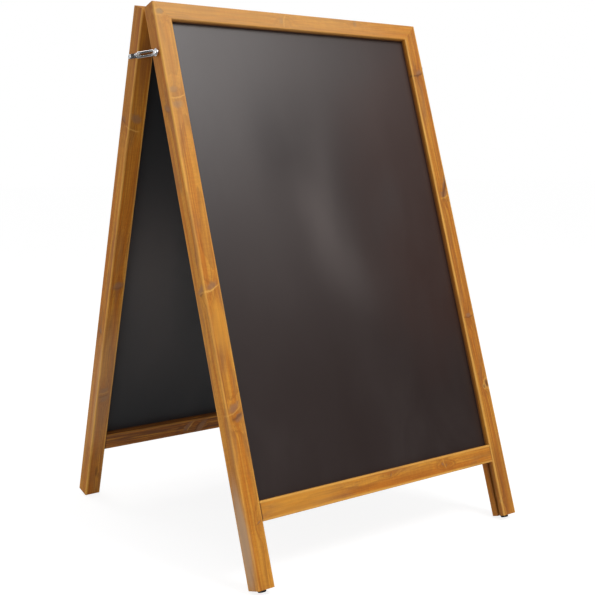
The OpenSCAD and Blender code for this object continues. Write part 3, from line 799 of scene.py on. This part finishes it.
def wood_relief(tree, edge, pine, core):
    """Normal of the wood: raised late wood, fibre and knots, sunk pores and eased edges."""
    height = calc(tree, "MULTIPLY_ADD", pine["Late"], 0.3, calc(tree, "MULTIPLY", pine["Fibre"], 0.8))
    height = calc(tree, "MULTIPLY_ADD", pine["Pores"], -0.3, height)
    height = calc(tree, "MULTIPLY_ADD", core, 0.4, height)
    eased = add_node(tree, "Bevel", {"Radius": edge}, samples=4).outputs[0]
    inputs = {"Strength": 0.4, "Distance": 0.0005, "Height": height, "Normal": eased}
    return add_node(tree, "Bump", inputs).outputs[0]


def pine_material(settings, frame_name, part, seed):
    """Stained pine for one piece: its own rings, bands, knots and patches (some of them painted light),
    painted shade beside the panel, pale arrises that are partly painted highlight, darker end grain, eased
    edges.
    """
    node_name = f"{frame_name}_{part}"
    across, through, width, depth, darkness, arris_paleness = BOARDS[node_name]
    material, tree, shader = new_material(f"stained_pine_{node_name}", settings.orange)
    turn, origin = piece_axes(node_name, frame_name, part.endswith("rail"))
    position = piece_position(tree, turn, origin)
    knots = add_knots(tree, position, seed, node_name)
    inputs = {"Position": position, "Pith": (across, through, 0.0), "Seed": seed, "Swirl": knots["Swirl"]}
    pine = use_group(tree, "Pine", {**inputs, "Ring width": settings.ring_width_mm * width})

    inputs = {socket: opaque(getattr(settings, tone)) for socket, tone in STAIN_COLOURS.items()}
    inputs |= {name: pine[name] for name in GRAIN}
    inputs |= {name: knots[name] for name in KNOT_MARKS}
    base = use_group(tree, "Pine stain", {**inputs, "Depth": depth, "Darkness": darkness})["Colour"]
    shared = {"Position": position, "Ragged": pine["Patch"]}
    for middle, half_size, tone, strength in PATCHES.get(node_name, ()):
        base = add_patch(tree, shared, base, getattr(settings, tone), middle, half_size, strength)
    # Painted shade in the knot colour on the side towards the panel, where the recess lies in shade.
    inner_side, along, half_length = INNER_SIDES[part]
    into, aside, strength = GROOVE_SHADE
    middle = (inner_side, groove_place(frame_name, turn, origin), along)
    base = add_patch(tree, shared, base, settings.knot, middle, (into, aside, half_length), strength)
    # Pale arrises in the curl colour: partly rubbed stain, partly painted highlight on the rounded edges.
    arris = use_group(tree, "Arris", {"Position": position})["Arris"]
    pale_arris = ramp_between(tree, pine["Patch"], 0.75, 0.3, 0.3 * arris_paleness, 0.7 * arris_paleness)
    base = mix_colours(tree, calc(tree, "MULTIPLY", arris, pale_arris), base, opaque(settings.curl))

    base, is_end = end_grain(tree, settings, pine["Late"], turn, base)
    rough = calc(tree, "MULTIPLY_ADD", pine["Fibre"], 0.14, settings.roughness - 0.07)
    rough = calc(tree, "MULTIPLY_ADD", is_end, 0.25, rough)
    tree.links.new(base, shader.inputs["Base Color"])
    tree.links.new(rough, shader.inputs["Roughness"])
    tree.links.new(wood_relief(tree, settings.edge, pine, knots["Core"]), shader.inputs["Normal"])
    shader.inputs["Specular IOR Level"].default_value = 0.27
    return material


class BOARD_OT_timber(bpy.types.Operator):
    """Stains the eight timber pieces, each with its own grain and knots"""

    bl_idname = "sandwich_board.timber"
    bl_label = "Stain Timber"

    def execute(self, context):
        seed_step = Vector((137.0, 59.0, 2311.0))
        pieces = [(frame_name, part) for frame_name in FRAMES for part in TIMBER_PARTS]
        for count, (frame_name, part) in enumerate(pieces, start=1):
            material = pine_material(context.scene.board_timber, frame_name, part, seed_step * count)
            finish_object(NODES[f"{frame_name}_{part}"], material)
        return {"FINISHED"}


# ---- Panels ----

# Smears in the chalk colour, partly chalk left by wiping and partly painted reflection: the broad soft ones
# paint the front panel's sheen and the rear panel's reflection of the floor. Each has its middle across and
# up from the fold axis, direction, half length and half width, and strength, below 0 where the panel was
# wiped cleaner.
SMEARS = {
    "front": (
        ((-24.0, -500.0), (0.34, -0.94), 125.0, 62.0, 0.85),
        ((2.0, -365.0), (-0.15, -0.99), 125.0, 36.0, 0.45),
        ((-70.0, -420.0), (0.5, -0.87), 60.0, 44.0, 0.3),
        ((35.0, -610.0), (0.6, -0.8), 90.0, 60.0, 0.3),
        ((-115.0, -330.0), (0.2, -0.98), 120.0, 50.0, -0.4),
        ((20.0, -120.0), (1.0, 0.0), 330.0, 160.0, 0.5),
        ((-200.0, -420.0), (0.2, -0.98), 260.0, 110.0, 0.35),
        ((40.0, -560.0), (0.5, -0.87), 240.0, 170.0, 0.22),
    ),
    "rear": (
        ((60.0, -420.0), (-0.4, -0.92), 130.0, 38.0, 0.6),
        ((-90.0, -640.0), (0.8, -0.6), 90.0, 30.0, 0.4),
        ((-250.0, -600.0), (0.1, -0.99), 210.0, 110.0, 1.5),
        ((-180.0, -850.0), (1.0, 0.0), 260.0, 130.0, 0.5),
    ),
}

# The redder paint along the front panel's right edge: middle, half size and strength.
WARM_PATCH = ((310.0, 0.0, -400.0), (170.0, 100.0, 420.0), 0.8)


def smear_inputs(middle, direction, half_length, half_width):
    """Sockets that place a smear on the panel's plane."""
    return {
        "Middle": (middle[0], 0.0, middle[1]),
        "Along": (direction[0] / half_length, 0.0, direction[1] / half_length),
        "Aside": (direction[1] / half_width, 0.0, -direction[0] / half_width),
    }


def chalk_material(settings, frame_name):
    """Satin chalk surface: dark paint, faint haze, smears that are partly wiped chalk and partly painted
    reflection, soft uneven gloss, stipple.
    """
    paint = opaque(getattr(settings, frame_name))
    material, tree, shader = new_material(f"chalk_paint_{frame_name}", getattr(settings, frame_name))
    place = object_place(tree)
    position = piece_position(tree, *piece_axes(f"{frame_name}_chalkboard", frame_name, False))
    marks = use_group(tree, "Smudge", {"Position": place})
    chalk = calc(tree, "MULTIPLY", marks["Wipes"], marks["Clouds"])
    chalk = calc(tree, "MULTIPLY", chalk, settings.haze)
    wobble = noise(tree, position, (0.008, 0.008, 0.004), 3.0, 0.6)
    # Smears in the chalk colour: wiped chalk, and painted sheen and reflection where they are broad.
    for *shape, strength in SMEARS[frame_name]:
        inputs = {"Position": position, "Wobble": wobble, **smear_inputs(*shape)}
        smear = use_group(tree, "Smear", {**inputs, "Strength": strength * settings.smear})["Smear"]
        chalk = calc(tree, "ADD", chalk, smear)
    if frame_name == "front":
        shared = {"Position": position, "Ragged": marks["Clouds"]}
        paint = add_patch(tree, shared, paint, settings.warm, *WARM_PATCH)
    tree.links.new(mix_colours(tree, chalk, paint, opaque(settings.chalk)), shader.inputs["Base Color"])
    rough = calc(tree, "MULTIPLY_ADD", marks["Clouds"], 0.05, settings.roughness)
    rough = calc(tree, "MULTIPLY_ADD", marks["Wipes"], 0.02, rough)
    tree.links.new(rough, shader.inputs["Roughness"])
    stipple = noise(tree, place, (1400.0, 1400.0, 1400.0))
    bump = add_node(tree, "Bump", {"Strength": 0.08, "Distance": 0.0002, "Height": stipple})
    tree.links.new(bump.outputs[0], shader.inputs["Normal"])
    shader.inputs["Specular IOR Level"].default_value = 0.6
    return material


class BOARD_OT_panels(bpy.types.Operator):
    """Paints the two chalk panels"""

    bl_idname = "sandwich_board.panels"
    bl_label = "Paint Chalk Panels"

    def execute(self, context):
        for frame_name in FRAMES:
            material = chalk_material(context.scene.board_panels, frame_name)
            finish_object(NODES[f"{frame_name}_chalkboard"], material)
        return {"FINISHED"}


# ---- Metal ----

# Finishes of the zinc: brightness as a share of the plating's, roughness added to it, and clouding.
ZINC_FINISHES = {
    "zinc_sheet": (1.0, 0.0, 1.0),
    "zinc_polished": (1.0, -0.25, 0.06),
    "zinc_turned": (1.08, -0.1, 0.5),
}
TURNED_STAY_PARTS = ("clamp_washer", "lock_nut", "front_screw", "front_washer", "rear_screw", "rear_washer")


def zinc_material(settings, name):
    """Zinc plating: cloudy roughness, fine rolling lines and a slight drift between blue and straw. Polished
    pieces have little clouding."""
    tint, extra_roughness, clouding = ZINC_FINISHES[name]
    red, green, blue = (tint * c for c in settings.zinc)
    material, tree, shader = new_material(name, (red, green, blue))
    marks = use_group(tree, "Plating", {"Position": object_place_mm(tree)})
    drift = ramp_between(tree, marks["Clouds"], 0.35, 0.7, 0.0, 0.5)
    straw = (red, green * 0.96, blue * 0.86, 1.0)
    tree.links.new(mix_colours(tree, drift, (red, green, blue, 1.0), straw), shader.inputs["Base Color"])
    least = settings.roughness + extra_roughness - 0.11 * clouding
    rough = calc(tree, "MULTIPLY_ADD", marks["Clouds"], 0.22 * clouding, least)
    rough = calc(tree, "MULTIPLY_ADD", marks["Lines"], 0.06 * clouding, rough)
    tree.links.new(rough, shader.inputs["Roughness"])
    shader.inputs["Metallic"].default_value = 1.0
    eased = add_node(tree, "Bevel", {"Radius": 0.00025}, samples=4).outputs[0]
    inputs = {"Strength": 0.12 * clouding, "Distance": 0.00005, "Height": marks["Lines"], "Normal": eased}
    tree.links.new(add_node(tree, "Bump", inputs).outputs[0], shader.inputs["Normal"])
    return material


def thread_radius(along, turn, length, radius, pitch):
    """Radius of a threaded rod: the rod's radius less a flattened triangle wave of along / pitch - turn,
    which is a helix 0.6 pitches deep. The end tapers at 45 degrees to 0.9 pitches below the radius."""
    depth = 0.6 * pitch
    wave = np.abs(((along / pitch - turn) % 1.0) * 2.0 - 1.0)
    wave = np.clip(wave * 1.5 - 0.25, 0.0, 1.0)
    chamfer = radius - 0.9 * pitch + (length - along)
    return np.minimum(radius - depth * wave, chamfer)


def threaded_rod(name, start, end, radius, pitch, steps_around=48, steps_per_pitch=12):
    """Rod along X with a real thread, from start to end: a grid of rings along the rod, with the radius of
    thread_radius and a pole that closes each end."""
    length = abs(end.x - start.x)
    sign = 1.0 if end.x > start.x else -1.0
    rings = int(length / pitch * steps_per_pitch)
    along = np.linspace(0.0, length, rings)[:, None]
    turn = np.linspace(0.0, 1.0, steps_around, endpoint=False)[None, :]
    r = thread_radius(along, turn, length, radius, pitch)
    angle_around = 2 * math.pi * turn
    x = start.x + sign * (along + 0.0 * turn)
    y = start.y + r * np.cos(angle_around)
    z = start.z + sign * r * np.sin(angle_around)
    grid = np.stack((x, y, z), axis=-1).reshape(-1, 3)
    vertices = np.vstack((grid, start, end))

    here = np.arange(steps_around)
    following = (here + 1) % steps_around
    ring = (np.arange(rings - 1) * steps_around)[:, None]
    corners = (ring + here, ring + following, ring + steps_around + following, ring + steps_around + here)
    quads = np.stack(corners, axis=-1).reshape(-1, 4)
    last = (rings - 1) * steps_around
    first_cap = np.stack((np.full(steps_around, len(grid)), following, here), axis=-1)
    last_cap = np.stack((np.full(steps_around, len(grid) + 1), last + here, last + following), axis=-1)
    mesh = bpy.data.meshes.new(name)
    mesh.from_pydata(vertices.tolist(), [], quads.tolist() + first_cap.tolist() + last_cap.tolist())
    mesh.shade_smooth()
    piece = bpy.data.objects.new(name, mesh)
    bpy.context.scene.collection.objects.link(piece)
    return piece


def thread_stud(side, pitch, material):
    """A threaded rod in the place of a plain stud, with its chamfered end outwards."""
    node_name = f"{side}_stay_stud"
    low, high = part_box(node_name)
    start = (low + high) / 2
    end = start.copy()
    start.x, end.x = (high.x, low.x) if side == "left" else (low.x, high.x)
    piece = threaded_rod(f"{side}_stud_thread", start, end, (high.z - low.z) / 2, pitch)
    finish_object(piece, material)
    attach(piece, f"{side}_stay_bar")
    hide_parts(node_name)


class BOARD_OT_metal(bpy.types.Operator):
    """Plates the hinges, stays and screws, and cuts threads on the studs"""

    bl_idname = "sandwich_board.metal"
    bl_label = "Plate Metal"

    def execute(self, context):
        settings = context.scene.board_metal
        sheet, polished, turned = (zinc_material(settings, name) for name in ZINC_FINISHES)
        for side in SIDES:
            for part in ("hinge_front_leaf", "hinge_rear_leaf"):
                finish_object(NODES[f"{side}_{part}"], sheet)
            for part in ("stay_channel", "stay_slide_bar"):
                finish_object(NODES[f"{side}_{part}"], polished)
            for part in TURNED_STAY_PARTS:
                finish_object(NODES[f"{side}_stay_{part}"], turned)
            finish_object(NODES[f"{side}_hinge_pin"], turned)
            thread_stud(side, settings.thread_pitch_mm / MM, turned)
        for frame_name in FRAMES:
            for part in ("hinge_screws", "foot_screws"):
                finish_object(NODES[f"{frame_name}_{part}"], turned)
        return {"FINISHED"}


# ---- Small parts ----


def plain_material(name, stuff, roughness, grain_mm, bump_strength):
    """Plain moulded or turned stuff: slightly uneven in colour and gloss, with bumps of size grain_mm."""
    material, tree, shader = new_material(name, stuff)
    marks = use_group(tree, "Speckle", {"Position": object_place_mm(tree), "Fineness": 1 / grain_mm})
    uneven = mix_colours(tree, marks["Slow"], opaque(stuff), opaque(stuff, 0.72))
    tree.links.new(uneven, shader.inputs["Base Color"])
    rough = calc(tree, "MULTIPLY_ADD", marks["Fine"], 0.12, roughness - 0.06)
    tree.links.new(rough, shader.inputs["Roughness"])
    bump = add_node(tree, "Bump", {"Strength": bump_strength, "Distance": 0.0002, "Height": marks["Fine"]})
    tree.links.new(bump.outputs[0], shader.inputs["Normal"])
    return material


class BOARD_OT_small_parts(bpy.types.Operator):
    """Finishes the rubber feet, the nylon washers and the dowels"""

    bl_idname = "sandwich_board.small_parts"
    bl_label = "Finish Small Parts"

    def execute(self, context):
        settings = context.scene.board_small_parts
        rubber = plain_material("black_rubber", settings.rubber, 0.68, 0.4, 0.25)
        nylon = plain_material("natural_nylon", settings.nylon, 0.42, 0.8, 0.08)
        dowel = plain_material("beech_dowel", settings.beech, 0.6, 0.5, 0.2)
        for frame_name in FRAMES:
            finish_object(NODES[f"{frame_name}_corner_dowels"], dowel)
            for side in SIDES:
                finish_object(NODES[f"{frame_name}_{side}_foot"], rubber)
        for side in SIDES:
            finish_object(NODES[f"{side}_stay_glide_washer"], nylon)
        return {"FINISHED"}


# ---- Stage ----

WHITE = (1.0, 1.0, 1.0)
FLOOR_HALF = 30.0
# How much of what the camera sees of the floor is even white, and how bright that white is.
EVEN_SHARE = 0.66
EVEN_STRENGTH = 1.29
# Towards the bright part of the sky that shiny surfaces see.
BRIGHT_SKY = (-0.4, -0.3, 0.85)
# What the lamps are aimed at: the middle of the board.
LAMP_TARGET = (0.0, 0.0, 0.55)
# Lamps: place, width, height and power in watts.
LAMPS = {
    "key_lamp": ((0.75, -2.2, 3.25), 1.4, 1.4, 63.0),
    "fill_lamp": ((-2.8, -1.6, 0.7), 1.6, 1.2, 14.0),
    "rim_lamp": ((-0.5, 2.8, 2.6), 1.5, 1.0, 20.0),
    "metal_lamp": ((-3.045, 3.512, 1.5), 1.2, 1.2, 8.0),
}


def white_floor_material():
    """Matt white floor, a little darker in shiny surfaces. The camera sees mostly even white with a share of
    the real shading, so the object keeps a soft shadow and the floor meets the white surroundings without an
    edge."""
    material, tree = empty_material("studio_floor")
    paths = add_node(tree, "LightPath").outputs
    grey = mix_colours(tree, paths["Is Glossy Ray"], opaque(WHITE, 0.85), opaque(WHITE, 0.5))
    matt = add_node(tree, "BsdfDiffuse", {"Color": grey}).outputs[0]
    even = add_node(tree, "Emission", {"Color": opaque(WHITE), "Strength": EVEN_STRENGTH}).outputs[0]
    share = calc(tree, "MULTIPLY", paths["Is Camera Ray"], EVEN_SHARE)
    mixed = add_node(tree, "MixShader", {0: share, 1: matt, 2: even}).outputs[0]
    add_node(tree, "OutputMaterial", {"Surface": mixed})
    return material


def add_lamp(name, place, width, height, power):
    """Rectangular lamp aimed at the board."""
    data = bpy.data.lights.new(name, "AREA")
    data.shape = "RECTANGLE"
    data.size = width
    data.size_y = height
    data.energy = power
    lamp = bpy.data.objects.new(name, data)
    lamp.location = place
    lamp.rotation_euler = (Vector(LAMP_TARGET) - Vector(place)).to_track_quat("-Z", "Y").to_euler()
    bpy.context.scene.collection.objects.link(lamp)


def add_floor():
    """Level square at the feet's level."""
    mesh = bpy.data.meshes.new("floor")
    corners = [(x * FLOOR_HALF, y * FLOOR_HALF, 0.0) for x, y in ((-1, -1), (1, -1), (1, 1), (-1, 1))]
    mesh.from_pydata(corners, [], [(0, 1, 2, 3)])
    floor = bpy.data.objects.new("floor", mesh)
    bpy.context.scene.collection.objects.link(floor)
    finish_object(floor, white_floor_material())


def light_world(scene, settings):
    """White where the camera looks, even grey for light, and for gloss a sky that is bright above the left
    front and fades to a dark horizon."""
    world = bpy.data.worlds.new("studio_surroundings")
    world.use_nodes = True
    tree = world.node_tree
    tree.nodes.clear()
    paths = add_node(tree, "LightPath").outputs
    direction = add_node(tree, "TexCoord").outputs["Generated"]
    rise = vector_calc(tree, "DOT_PRODUCT", direction, BRIGHT_SKY)
    gloss = ramp_between(tree, rise, 0.14, 0.66, settings.gloss_horizon, settings.gloss_zenith)
    difference = calc(tree, "SUBTRACT", gloss, settings.world_level)
    strength = calc(tree, "MULTIPLY_ADD", paths["Is Glossy Ray"], difference, settings.world_level)
    strength = calc(tree, "MULTIPLY", strength, calc(tree, "SUBTRACT", 1.0, paths["Is Camera Ray"]))
    strength = calc(tree, "ADD", strength, paths["Is Camera Ray"])
    background = add_node(tree, "Background", {"Color": opaque(WHITE), "Strength": strength})
    add_node(tree, "OutputWorld", {"Surface": background.outputs[0]})
    scene.world = world


def add_camera(scene, settings):
    """Camera turned by its yaw, then its pitch, then its roll."""
    data = bpy.data.cameras.new("camera")
    data.sensor_width = 36.0
    data.lens = settings.lens_mm
    data.clip_end = 100.0
    camera = bpy.data.objects.new("camera", data)
    yaw = Matrix.Rotation(-settings.camera_yaw, 4, "Z")
    pitch = Matrix.Rotation(math.pi / 2 + settings.camera_pitch, 4, "X")
    roll = Matrix.Rotation(settings.camera_roll, 4, "Z")
    camera.matrix_world = Matrix.Translation(settings.camera_place) @ yaw @ pitch @ roll
    scene.collection.objects.link(camera)
    scene.camera = camera
    scene.view_settings.view_transform = "Standard"


class BOARD_OT_stage(bpy.types.Operator):
    """Adds the floor, the surroundings, the lamps and the camera"""

    bl_idname = "sandwich_board.stage"
    bl_label = "Set Stage"

    def execute(self, context):
        settings = context.scene.board_stage
        add_floor()
        light_world(context.scene, settings)
        for name, lamp in LAMPS.items():
            add_lamp(name, *lamp)
        add_camera(context.scene, settings)
        return {"FINISHED"}


# ---- Panel and registration ----


class BOARD_PT_finish(bpy.types.Panel):
    """Lists the operators and their settings"""

    bl_idname = "BOARD_PT_finish"
    bl_label = "Sandwich Board"
    bl_space_type = "VIEW_3D"
    bl_region_type = "UI"
    bl_category = "Sandwich Board"

    def draw(self, context):
        for operator in OPERATORS:
            self.layout.operator(operator.bl_idname)
        for name, group in SETTINGS.items():
            box = self.layout.box()
            for prop in group.__annotations__:
                box.prop(getattr(context.scene, name), prop)


OPERATORS = (BOARD_OT_timber, BOARD_OT_panels, BOARD_OT_metal, BOARD_OT_small_parts, BOARD_OT_stage)
SETTINGS = {
    "board_timber": BoardTimberSettings,
    "board_panels": BoardPanelSettings,
    "board_metal": BoardMetalSettings,
    "board_small_parts": BoardSmallPartSettings,
    "board_stage": BoardStageSettings,
}


def register():
    """Registers the settings, the operators and the panel."""
    for name, group in SETTINGS.items():
        bpy.utils.register_class(group)
        setattr(bpy.types.Scene, name, bpy.props.PointerProperty(type=group))
    for operator in OPERATORS:
        bpy.utils.register_class(operator)
    bpy.utils.register_class(BOARD_PT_finish)


def unregister():
    """Undoes what register does, in the opposite order."""
    bpy.utils.unregister_class(BOARD_PT_finish)
    for operator in reversed(OPERATORS):
        bpy.utils.unregister_class(operator)
    for name, group in SETTINGS.items():
        delattr(bpy.types.Scene, name)
        bpy.utils.unregister_class(group)


def main():
    """Builds the finished board on its stage."""
    register()
    bpy.ops.sandwich_board.timber()
    bpy.ops.sandwich_board.panels()
    bpy.ops.sandwich_board.metal()
    bpy.ops.sandwich_board.small_parts()
    bpy.ops.sandwich_board.stage()
    bpy.context.view_layer.update()


if __name__ == "__main__":
    main()
